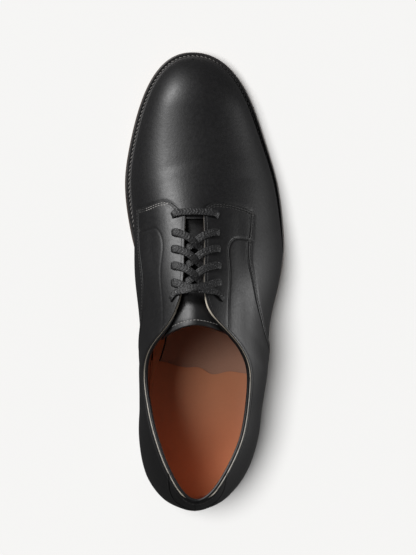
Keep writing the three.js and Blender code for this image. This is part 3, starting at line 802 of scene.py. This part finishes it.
tongue = {"edgeTop": .38, "edgeFront": .30, "front": .66, "top": .399, "fall": .222, "thickness": 1.7, "sink": 2.0,
          "length": 78.0, "width": 62.0, "edgeRound": .5, "hem": 3.2, "hemDepth": .14, "hemWidth": .55, "under": .25}


def tonguePlace(run, place):
    top = tongue["top"] - tongue["fall"] * place ** 2
    return top + run * (tongue["front"] - top)


def tongueLift(share):
    # the laces press the middle of the tongue down between the facings
    pressed = smoothStep(share, .405, .455) * (1 - smoothStep(share, .60, .635))
    return -(last["wall"] + last["gap"]) - tongue["sink"] * pressed - tongue["under"]


def makeTongue():
    run, dropRun = rounded(np.linspace(0, 1, 110), tongue["length"], tongue["edgeRound"], high=False)
    across, dropSide = rounded(np.linspace(0, 1, 120), tongue["width"], tongue["edgeRound"])
    a = 2 * across - 1
    place = a[None, :] * (tongue["edgeTop"] + run[:, None] * (tongue["edgeFront"] - tongue["edgeTop"]))
    share = tonguePlace(run[:, None], place)
    side = np.where(place < 0, -1.0, 1.0)
    base, normal = surfaceAt(share, 1 - np.abs(place), side)
    lift = tongueLift(share)
    groove = tongue["hemDepth"] * np.exp(-((run[:, None] * tongue["length"] - tongue["hem"]) / tongue["hemWidth"]) ** 2)
    outer = base + normal * (lift - dropRun[:, None] - dropSide[None, :] - groove)[..., None]
    inner = base + normal * (lift - tongue["thickness"])[..., None]
    makeShell("tongueLeaf", outer, inner, True, [calf, lining], "calf", "tongue", (1, 0, 0, 0, 0))


makeTongue()
print("rim and tongue made")


# ---- lace: a flat woven strand carried along given rows of (share, across, rise)

lace = {"width": 5.0, "thickness": 1.05, "rings": 90, "holeFront": .626, "holeTop": .4475, "acrossFront": .185,
        "acrossTop": .235, "pairs": 6, "fall": .92, "halfGirth": 88.0}


def holeAt(pair):
    far = pair / (lace["pairs"] - 1)
    return (lace["holeFront"] + far * (lace["holeTop"] - lace["holeFront"]),
            lace["acrossFront"] + far * (lace["acrossTop"] - lace["acrossFront"]))


def strand(name, rows, side, node):
    # rows are (share, across, rise over the facings, width share), splined by their chords in mm
    rows = np.array(rows, float) * [1, side, 1, 1]
    at = runOf(rows[:, :3] * [last["soleLength"], lace["halfGirth"], 1])
    share, across, rise, wide = splineThrough(at, rows)(np.linspace(0, at[-1], lace["rings"])).T
    base, normal = surfaceAt(share, 1 - np.abs(across), np.where(across < 0, -1.0, 1.0))
    points = base + normal * (last["overlay"] + rise)[:, None]
    forward = unit(np.gradient(points, axis=0))
    # the flat side follows the leather, smoothed along, and stays level where the strand dives
    aside = np.cross(forward, normal)
    aside[1:-1] = (aside[:-2] + aside[1:-1] * 2 + aside[2:]) / 4
    for turn in range(6):
        aside[1:-1] = (aside[:-2] + aside[1:-1] + aside[2:]) / 3
    steady = np.array([0, 1.0, 0]) * (1 if aside[len(aside) // 2, 1] > 0 else -1)
    level = np.abs((forward * normal).sum(-1))[:, None]
    aside = unit(unit(aside) * (1 - level ** 2) + steady * level ** 2)
    aside = unit(aside - forward * (aside * forward).sum(-1, keepdims=True))
    # it is thicker where it is drawn together in a hole
    tube(name, points, aside, unit(np.cross(aside, forward)), lace["width"] / 2 * wide,
         lace["thickness"] / 2 * (1.25 - .25 * wide), laceCotton, node, 20, .72, .55)


def fromHole(share, across):
    return [(share, across, -3.6, .62), (share, across, -1.2, .74), (share + .0012, across - .018, .80, .97)]


def makeLaces():
    # a bar over the first pair, crossings that dive under the facings, and one over them at the top
    share, across = holeAt(0)
    half = [(share, across, -3.6, .62), (share, across, -1.2, .72), (share + .004, across - .016, .75, .95),
            (share + .0085, across * .6, .85, 1)]
    mirrored = [(far, -wide, rise, size) for far, wide, rise, size in half]
    strand("laceBar", [*mirrored, (share + .011, 0, .45, 1), *half[::-1]], 1, "lace_bar")
    pitch = (lace["holeFront"] - lace["holeTop"]) / (lace["pairs"] - 1)
    for pair in range(1, lace["pairs"] - 2):
        share, across = holeAt(pair)
        for side, name, middle in ((-1, "Left", -.75), (1, "Right", -2.25)):
            edge = 1 - float(rimCurve[-side](share - pitch * .8))
            rows = [(.04, across * .60, .90, 1), (.22, across * .30, .45 + .25 * middle, 1), (.50, 0, middle - .35, 1),
                    (.76, -edge * .62, -2.75, 1), (lace["fall"], -edge - .01, -3.05, 1),
                    (1.02, -edge - .05, -3.15, .95)]
            rows = [(share - pitch * back, *rest) for back, *rest in rows]
            strand(f"laceCross{pair}{name}", fromHole(share, across) + rows, side, f"lace_cross_{pair}")
    share, across = holeAt(lace["pairs"] - 2)
    topShare, topAcross = holeAt(lace["pairs"] - 1)
    for side, name, high in ((-1, "Left", .35), (1, "Right", 1.55)):
        rows = [(share - .003, across * .62, .85 + .3 * high, 1), (share - .011, 0, high, 1),
                (share - .0165, -topAcross * .50, .95 + .3 * high, 1), (share - .0235, -topAcross * .86, 1.0, .8),
                (topShare + .0012, -topAcross + .003, .35, .62), (topShare, -topAcross, -1.2, .55),
                (topShare, -topAcross, -3.6, .5)]
        strand(f"laceTop{name}", fromHole(share, across) + rows, side, "lace_cross_4")


makeLaces()
print("laces made")


# ---- stitches and seams: small closed beads, and thin dark cords of painted shade, set along paths over the last

def manyRings(name, grids, material, node):
    # the same closed row of six-sided rings again and again, in one mesh
    count, rings = grids.shape[:2]
    one = gridFaces(rings, 6, wrap=True, flip=True)
    quads = (one + (np.arange(count) * rings * 6)[:, None, None]).reshape(-1, 4)
    makePiece(name, grids, quads, [material], node, sharp=180)


def beads(name, rows, size, material, node):
    # an oval bead repeated at every middle of the rows, each of (middles, forward, up)
    middles, forward, up = [np.concatenate(parts)[:, None, None] for parts in zip(*rows)]
    turn = np.linspace(0, 2 * math.pi, 6, endpoint=False)
    lean = np.array([-1.0, -.72, 0, .72, 1.0])[:, None]
    wide = np.sqrt(1 - lean ** 2) * .999 + .001
    shape = np.stack(np.broadcast_arrays(lean, wide * np.cos(turn), wide * np.sin(turn)), -1) * np.array(size) / 2
    aside = unit(np.cross(forward, up))
    grids = middles + forward * shape[..., :1] + aside * shape[..., 1:2] + up * shape[..., 2:]
    manyRings(name, grids, material, node)


stitch = {"size": (1.75, .50, .42), "pitch": 2.25, "sunk": .06, "grooved": .12, "proud": .08, "stayRow": 1.3,
          "stayDrop": .1, "tackSize": (3.0, .62, .5), "tackLift": .05}


def stitchRow(path, lift, relief=True):
    # even places along a path, with the way forward and the way out
    base, normal = surfaceAt(*path)
    dent = troughs(base) if relief else 0
    points = base + normal * np.reshape(lift - dent, (-1, 1))
    far = runOf(points)
    at = np.arange(stitch["pitch"] / 2, far[-1], stitch["pitch"])
    forward = np.gradient(points, axis=0)
    return sampled(points, far, at), unit(sampled(forward, far, at)), unit(sampled(normal, far, at))


def paintedShadeCords(name, rows, count=110):
    # painted shade in the bottom of seams and beside lapped edges: a thin near-black closed cord along each (path,
    # lift, radius) row
    turn = np.linspace(0, 2 * math.pi, 6, endpoint=False)[:, None]
    grids = []
    for path, lift, radius in rows:
        base, normal = surfaceAt(*path)
        points = base + normal * (lift - troughs(base))[:, None]
        far = runOf(points)
        at = np.linspace(0, far[-1], count)
        points, normal = sampled(points, far, at), sampled(normal, far, at)
        aside = unit(np.cross(normal, unit(np.gradient(points, axis=0))))
        slim = radius * fadeOut(np.minimum(at, far[-1] - at), 1.5)
        ring = aside[:, None] * np.cos(turn) + normal[:, None] * np.sin(turn)
        ring = points[:, None] + slim[:, None, None] * ring
        grids.append(np.concatenate([points[:1, None].repeat(6, 1), ring, points[-1:, None].repeat(6, 1)]))
    manyRings(name, np.array(grids), paintedSeamShade, "upper")


# where the hidden layer under the lateral quarter shows, and the seam down the back
underLayer = [[.583, .86], [.582, .75], [.577, .60]]
backSeam = {"high": .578, "low": .10}


# each seam's lift, from the last or from the raised layer, and the radius of its cord of painted shade
shadeCordSizes = {"aside": .35, "low": (.08, .40), "second": (-.18, .36), "tab": (.08, .34), "facing": (-.08, .22),
             "stay": {-1: (-.10, .28), 1: (-.10, .15)}, "eyestay": (-.10, .34), "under": (-.02, .14),
             "collar": (-.04, .30), "back": (.02, .30)}


def makeSeamShadows():
    rows = []
    for side, (low, tab) in edgePaths.items():
        rows += [("low", shifted(low, -side * shadeCordSizes["aside"]), 0),
                 ("second", shifted(low, side * quarter["secondRow"]), last["overlay"]),
                 ("tab", shifted(tab, -side * shadeCordSizes["aside"]), 0),
                 ("facing", facingPath(side, .630), last["overlay"])]
    share, climb, side = rimPath(.385)
    down = np.linspace(backSeam["high"], backSeam["low"], 60)
    rows += [("eyestay", domainPath(1, eyestayRows[1]), last["overlay"]),
             ("under", domainPath(1, underLayer), last["overlay"]),
             ("collar", (share, climb - quarter["collarRow"], side), raisedAt(share)),
             ("back", (np.full(60, heelLedge / last["soleLength"]), down, np.ones(60)), 0)]
    rows = [(path, base + shadeCordSizes[kind][0], shadeCordSizes[kind][1]) for kind, path, base in rows]
    for side, (drop, radius) in shadeCordSizes["stay"].items():
        stay = domainPath(side, backstayRows)
        rows.append((stay, raisedAt(stay[0]) + drop, radius))
    paintedShadeCords("paintedSeamShadows", rows)


makeSeamShadows()


def makeUpperStitches():
    # the tab's thread on the big-toe side and the tongue's thread are painted pale: a painted glint on the black
    # thread, where the light catches it
    rows = []
    top = last["overlay"] - stitch["sunk"]
    for side, (low, tab) in edgePaths.items():
        stay = domainPath(side, backstayRows[:3] + [[.013, .425]])
        rows += [stitchRow(shifted(low, side * quarter["firstRow"]), top),
                 stitchRow(shifted(low, side * quarter["secondRow"]), top - stitch["grooved"]),
                 stitchRow(shifted(tab, side * quarter["firstRow"]), top),
                 stitchRow(shifted(tab, side * quarter["tabRow"]), top),
                 stitchRow(facingPath(side, .636), top),
                 stitchRow(shifted(stay, side * stitch["stayRow"]), top - stitch["stayDrop"])]
    glinting = [part[quarter["glintSpan"]] for part in edgePaths[-1][1]]
    pale = [stitchRow(shifted(glinting, -quarter[row]), top + stitch["proud"]) for row in ("firstRow", "tabRow")]
    share, climb, side = rimPath(.40)
    rows.append(stitchRow((share, climb - quarter["collarRow"], side), top))
    place = np.linspace(-.27, .27, 90)
    hem = tonguePlace(tongue["hem"] / tongue["length"], place), 1 - np.abs(place), np.where(place < 0, -1.0, 1.0)
    pale.append(stitchRow(hem, -(last["wall"] + last["gap"]) - tongue["under"] - stitch["sunk"], False))
    beads("upperStitches", rows, stitch["size"], blackThread, "upper")
    beads("paintedGlintStitches", pale, stitch["size"], paintedGlintThread, "upper")


makeUpperStitches()

# short bars of thread where the side seams start and where the hidden layer ends: share, climb and side
tackRows = [(.641, .455, -1), (.598, .435, -1), (.634, .560, 1), (.577, .590, 1)]


def makeTacks():
    rows = []
    for share, climb, side in tackRows:
        share = share + np.array([-.0028, 0, .0028])
        base, normal = surfaceAt(share, climb, side)
        down = unit(surfaceAt(share, climb - .02, side)[0] - surfaceAt(share, climb + .02, side)[0])
        rows.append([base + normal * (last["overlay"] + stitch["tackLift"]), down, normal])
    beads("barTacks", rows, stitch["tackSize"], blackThread, "upper")


makeTacks()
print("stitches made")


# ---- sole, welt and heel

soleParts = {"edgeRound": 1.1, "weltSetback": .6, "weltRound": .7, "heelLength": 76.0, "heelTaper": 2.5,
             "topPiece": 6.5, "topRound": .5, "lifts": 3, "liftRound": .28, "seam": .06, "insole": 5.0,
             "around": 260, "heelAround": 120}
# the welt's section as share across and depth of the groove for its stitches
weltGroove = [(.25, 0), (.40, 0), (.50, 0), (.56, .10), (.62, .42), (.68, .50), (.74, .42), (.80, .10),
              (.86, 0), (.93, 0)]
weltStitch = {"at": .68, "from": .29, "first": 1.5, "pitch": 2.9, "sunk": .30, "slant": .42, "size": (2.5, .95, .75)}


def soleEdge(run, side, inset, until=None):
    # the outline's half width, drawn in by inset and rounded at both ends
    until = last["soleLength"] - inset if until is None else until
    y = inset + run * (until - inset)
    share = y / last["soleLength"]
    half = bySide("sole", share, side) * widthAt(share) - inset
    ends = roundEnds(y, inset, last["heelRound"] - inset, last["soleLength"] - inset, last["toeRound"] - inset)
    return np.stack([side * half * ends + swingAt(share), y], -1)


def footEdge(run, side, inset):
    y = heelLedge + inset + run * (toeEdge - heelLedge - 2 * inset)
    return lastPoint(y, 0, side, inset)[..., :2]


def loopOf(edge, inset, count, toToe=True):
    # the outline as a loop: up the little-toe side, across where it is cut straight, and back
    run = (1 - np.cos(np.linspace(0, math.pi if toToe else math.pi / 2, count))) / (2 if toToe else 1)
    lat, med = edge(run, 1.0, inset), edge(run, -1.0, inset)
    if toToe:
        return np.concatenate([lat, med[-2:0:-1]])
    cut = np.linspace(0, 1, 26)[1:-1, None]
    return np.concatenate([lat, lat[-1] + cut * (med[-1] - lat[-1]), med[::-1][:-1]])


def heelEdge(run, side, inset):
    return soleEdge(run, side, inset, soleParts["heelLength"] - inset * .2)


def ringMesh(name, grid, flip, material, node):
    grid = np.stack(grid)
    makePiece(name, grid, gridFaces(*grid.shape[:2], wrap=True, flip=flip), [material], node, sharp=50)


def slab(name, edge, bottom, top, radius, material, node, toToe=True, insetLow=0.0, insetHigh=0.0):
    # rings from the middle of the underside out to the rounded edge and back to the middle of the top;
    # bottom and top are a height, or a function of y
    count = soleParts["around" if toToe else "heelAround"]
    turn = np.linspace(0, math.pi / 2, 5)
    shrunk = (0, .25, .5, .7, .85, .95)
    rows = [(f, insetLow + radius, 0, bottom) for f in shrunk]
    rows += [(1, insetLow + radius * (1 - math.sin(a)), radius * (1 - math.cos(a)), bottom) for a in turn]
    rows += [(1, insetHigh + radius * (1 - math.sin(a)), -radius * (1 - math.cos(a)), top) for a in turn[::-1]]
    rows += [(f, insetHigh + radius, 0, top) for f in shrunk[::-1]]
    grid = []
    for f, inset, rise, level in rows:
        x, y = loopOf(edge, inset, count, toToe).T
        middle = swingAt(y / last["soleLength"])
        height = level(y) if callable(level) else level
        grid.append(np.stack([middle + (x - middle) * f, y, height + rise + 0 * y], -1))
    ringMesh(name, grid, False, material, node)


def makeSole():
    slab("soleLeaf", soleEdge, undersideAt, lambda y: undersideAt(y) + last["outsole"], soleParts["edgeRound"],
         soleLeather, "outsole")
    # the heel is drawn in towards the floor, and a fine seam is left between its layers
    levels = np.linspace(soleParts["topPiece"], last["heelHeight"], soleParts["lifts"] + 1)
    tapers = soleParts["heelTaper"] * (1 - levels / last["heelHeight"])
    seam = soleParts["seam"]
    slab("heelTopPiece", heelEdge, 0, levels[0] - 2 * seam, soleParts["topRound"], rubber, "heel_top_piece",
         False, soleParts["heelTaper"], tapers[0])
    for k in range(soleParts["lifts"]):
        seated = k == soleParts["lifts"] - 1
        slab(f"heelLift{k + 1}", heelEdge, levels[k] + seam,
             (lambda y: undersideAt(y) - 2 * seam) if seated else levels[k + 1] - seam, soleParts["liftRound"],
             heelLeather, f"heel_lift_{k + 1}", False, tapers[k], tapers[k + 1])


makeSole()


def weltLoop(f, inset):
    # the share f of the way from the foot under the upper to the welt's outer edge
    inner = loopOf(footEdge, last["wall"] * .9, soleParts["around"])
    outer = loopOf(soleEdge, soleParts["weltSetback"] + inset, soleParts["around"])
    return inner + (outer - inner) * f


def makeWelt():
    # a ring of section rows: up the inside, over the top with its groove, round the outer edge and back
    base = last["outsole"] + last["gap"] * .35
    high = last["welt"] + last["gap"] * .5
    radius = soleParts["weltRound"]
    rows = [(0, 0, 0), (0, 0, high)] + [(f, 0, high - depth) for f, depth in weltGroove]
    rows += [(1, radius * (1 - math.sin(a)), high - radius * (1 - math.cos(a))) for a in np.linspace(0, math.pi / 2, 5)]
    rows += [(1, 0, .35), (1, .35, 0), (0, 0, 0)]
    grid = []
    for f, inset, rise in rows:
        loop = weltLoop(f, inset)
        grid.append(np.column_stack([loop, undersideAt(loop[:, 1]) + base + rise]))
    ringMesh("weltRing", grid, True, weltLeather, "welt")
    loop = weltLoop(weltStitch["at"], 0)
    loop = loop[loop[:, 1] > weltStitch["from"] * last["soleLength"]]
    points = np.column_stack([loop, undersideAt(loop[:, 1]) + base + high - weltStitch["sunk"]])
    far = runOf(points)
    at = np.arange(weltStitch["first"], far[-1], weltStitch["pitch"])
    forward = unit(sampled(np.gradient(points, axis=0), far, at))
    up = np.broadcast_to([0, 0, 1.0], forward.shape)
    slanted = unit(forward + unit(np.cross(forward, up)) * weltStitch["slant"])
    beads("weltStitches", [(sampled(points, far, at), slanted, up)], weltStitch["size"], weltThread, "welt")


makeWelt()
print("sole, heel and welt made")


bed = {"startGap": 2.35, "end": toeEdge - 2.6, "over": 0.0, "thickness": 4.6, "inset": 2.3, "endEase": 30.0,
       "startEase": 30.0, "step": 1.6, "across": 121, "turnUp": 1.5, "lap": .9}
heelSock = {"startGap": 2.4, "end": 90.0, "over": .95, "thickness": .8, "inset": 2.35, "endEase": 0.0,
            "front": [(-1, 95.0), (-.72, 93.5), (-.3, 90.0), (0, 89.2), (.14, 86.2), (.3, 85.6), (.5, 87.2),
                      (.75, 86.4), (1, 85.4)]}
# the arch lining laps over the bed up to this line of y and x
archSeam = [(0, -60), (55, -60), (62, -34.5), (72, -31.2), (86, -28.6), (95, -25.4), (106, -22.0), (118, -20.6),
            (135, -21.5), (150, -26), (160, -60), (300, -60)]
archLine = {"rows": slice(2, 8), "count": 80, "climb": .04, "aside": .25, "over": .45, "radius": .45}


def bedAt(y, f, extra=0.0):
    # the footbed: flat in the middle and turned up towards the wall
    return undersideAt(y) + last["outsole"] + last["gap"] + soleParts["insole"] + extra + bed["turnUp"] * np.abs(f) ** 6


def wallAt(y, side, height, inset):
    # where the wall's inner face stands at a height: four steps along the slope near the foot line find the climb
    climb = np.full(y.shape, .02)
    slope = (lastPoint(y, .08, side, inset)[..., 2] - lastPoint(y, -.02, side, inset)[..., 2]) / .10
    for turn in range(4):
        climb = np.clip(climb + (height - lastPoint(y, climb, side, inset)[..., 2]) / np.maximum(slope, 5), -.05, .14)
    return lastPoint(y, climb, side, inset)[..., :2]


def bedSheet(part, front):
    # a sheet from wall to wall, as its upper and lower grid; front is where it ends, for each place across
    f = np.linspace(-1, 1, bed["across"])
    start = heelLedge + part["startGap"]
    along = spread(part["end"] - start, bed["step"], bed["startEase"], part["endEase"])
    y = start + along[:, None] * (front - start)
    edgeHigh = bedAt(y, 1.0, part["over"]) - part["thickness"] / 2
    med, lat = [wallAt(y, side, edgeHigh, part["inset"]) for side in (-1.0, 1.0)]
    flat = med + (f[:, None] + 1) / 2 * (lat - med)
    high = bedAt(y, f, part["over"])[..., None]
    return np.concatenate([flat, high], -1), np.concatenate([flat, high - part["thickness"]], -1)


def makeBeds():
    top, low = bedSheet(bed, np.full(bed["across"], bed["end"]))
    seamY, seamX = np.array(archSeam, float).T
    top[..., 2] += bed["lap"] * smoothStep(np.interp(top[..., 1], seamY, seamX) - top[..., 0], -.2, .4)
    piece = makeShell("footbed", top, low, True, [insoleLeather, sockLeather], "insole", "insole")
    middle = np.empty(len(piece.data.polygons) * 3)
    piece.data.polygons.foreach_get("center", middle)
    middle = middle.reshape(-1, 3) * 1000 - np.array(last["centre"])
    lapped = middle[:, 0] < np.interp(middle[:, 1], seamY, seamX) - .1
    piece.data.polygons.foreach_set("material_index", lapped.astype(np.int32))
    place, front = np.array(heelSock["front"]).T
    sheet = bedSheet(heelSock, splineThrough(place, front)(np.linspace(-1, 1, bed["across"])))
    makeShell("heelSock", *sheet, True, [sockLeather], "sock", "sock")


makeBeds()


def makeArchLine():
    # painted shade along the arch lining's lap: a dark cord where the lining steps onto the bed, along the same line as
    # its lap
    rows = np.array(archSeam[archLine["rows"]], float)
    y = np.linspace(rows[0, 0], rows[-1, 0], archLine["count"])
    x = splineThrough(rows[:, 0], rows[:, 1])(y)
    med, lat = [lastPoint(y, archLine["climb"], side, bed["inset"])[:, 0] for side in (-1.0, 1.0)]
    height = bedAt(y, (x - med) / (lat - med) * 2 - 1) + archLine["over"]
    points = np.stack([x + archLine["aside"], y, height], -1)
    up = np.broadcast_to([0, 0, 1.0], points.shape)
    aside = unit(np.cross(up, unit(np.gradient(points, axis=0))))
    slim = archLine["radius"] * fadeOut(np.minimum(y - y[0], y[-1] - y), 2)
    tube("archLine", points, aside, up, slim, slim, paintedSeamShade, "insole", 8)


makeArchLine()
print("footbed made")


# ---- floor, lights and camera

stageSizes = {"floor": 16.0, "cameraPlace": (-.0657, -.0030, 1.600), "aim": (.0005, .0005, .045),
              "shoeShare": .845, "shoeLength": .3105, "world": .065}
floorSun = {"place": (-.49, .05, 2.10), "strength": 4.7, "angle": math.radians(24)}
# the shoe's own lights: name, place, aim, size and power
softboxes = [
    ("toeKey", (-.92, 1.08, .70), (0, .08, .04), (.8, .5), 31.0),
    ("topKey", (-.82, .08, 1.32), (0, -.02, .05), (.6, .6), 7.5),
    ("sideFill", (1.50, -.14, .10), (0, -.04, .06), (1.1, .24), 18.0),
]


def makeLamp(name, light, place, aim, receivers):
    lamp = bpy.data.objects.new(name, light)
    lamp.location = place
    lamp.rotation_euler = (Vector(aim) - Vector(place)).to_track_quat("-Z", "Y").to_euler()
    bpy.context.scene.collection.objects.link(lamp)
    lamp.light_linking.receiver_collection = receivers


def makeStage():
    m = Maker("paleFloor")
    size = stageSizes["floor"] / 2
    data = bpy.data.meshes.new("floor")
    corners = [(-size, -size, -.0002), (size, -size, -.0002), (size, size, -.0002), (-size, size, -.0002)]
    data.from_pydata(corners, [], [(0, 1, 2, 3)])
    data.materials.append(m.finish(color=(.60, .597, .590), rough=.9))
    floor = bpy.data.objects.new("floor", data)
    bpy.context.scene.collection.objects.link(floor)
    floor.visible_glossy = False  # so that black leather stays black
    world = bpy.data.worlds.new("studio")
    world.use_nodes = True
    sky = world.node_tree.nodes["Background"].inputs
    sky["Color"].default_value = (1.0, .998, .992, 1)
    sky["Strength"].default_value = stageSizes["world"]
    bpy.context.scene.world = world
    bpy.context.scene.view_settings.view_transform = "Standard"

    # light linking: the sun lights the floor alone, and the softboxes all but the floor
    receivers = {}
    for kind, state in (("floor", "INCLUDE"), ("shoe", "EXCLUDE")):
        receivers[kind] = bpy.data.collections.new(kind + "Light")
        receivers[kind].objects.link(floor)
        receivers[kind].collection_objects[0].light_linking.link_state = state
    for name, place, aim, size, power in softboxes:
        light = bpy.data.lights.new(name, "AREA")
        light.shape, light.size, light.size_y, light.energy = "RECTANGLE", size[0], size[1], power
        makeLamp(name, light, place, aim, receivers["shoe"])
    light = bpy.data.lights.new("floorSun", "SUN")
    light.energy, light.angle = floorSun["strength"], floorSun["angle"]
    makeLamp("floorSun", light, floorSun["place"], (0, 0, 0), receivers["floor"])

    lens = bpy.data.cameras.new("camera")
    lens.sensor_fit = "VERTICAL"
    place, aim = Vector(stageSizes["cameraPlace"]), Vector(stageSizes["aim"])
    reach = (aim - place).length
    lens.angle = 2 * math.atan(stageSizes["shoeLength"] / stageSizes["shoeShare"] / 2 / reach)
    view = bpy.data.objects.new("camera", lens)
    view.location = place
    back = (place - aim).normalized()
    right = Vector((0, 1, 0)).cross(back).normalized()
    up = back.cross(right)
    view.rotation_euler = Matrix((right, up, back)).transposed().to_euler()
    bpy.context.scene.collection.objects.link(view)
    bpy.context.scene.camera = view


makeStage()
print("stage made")
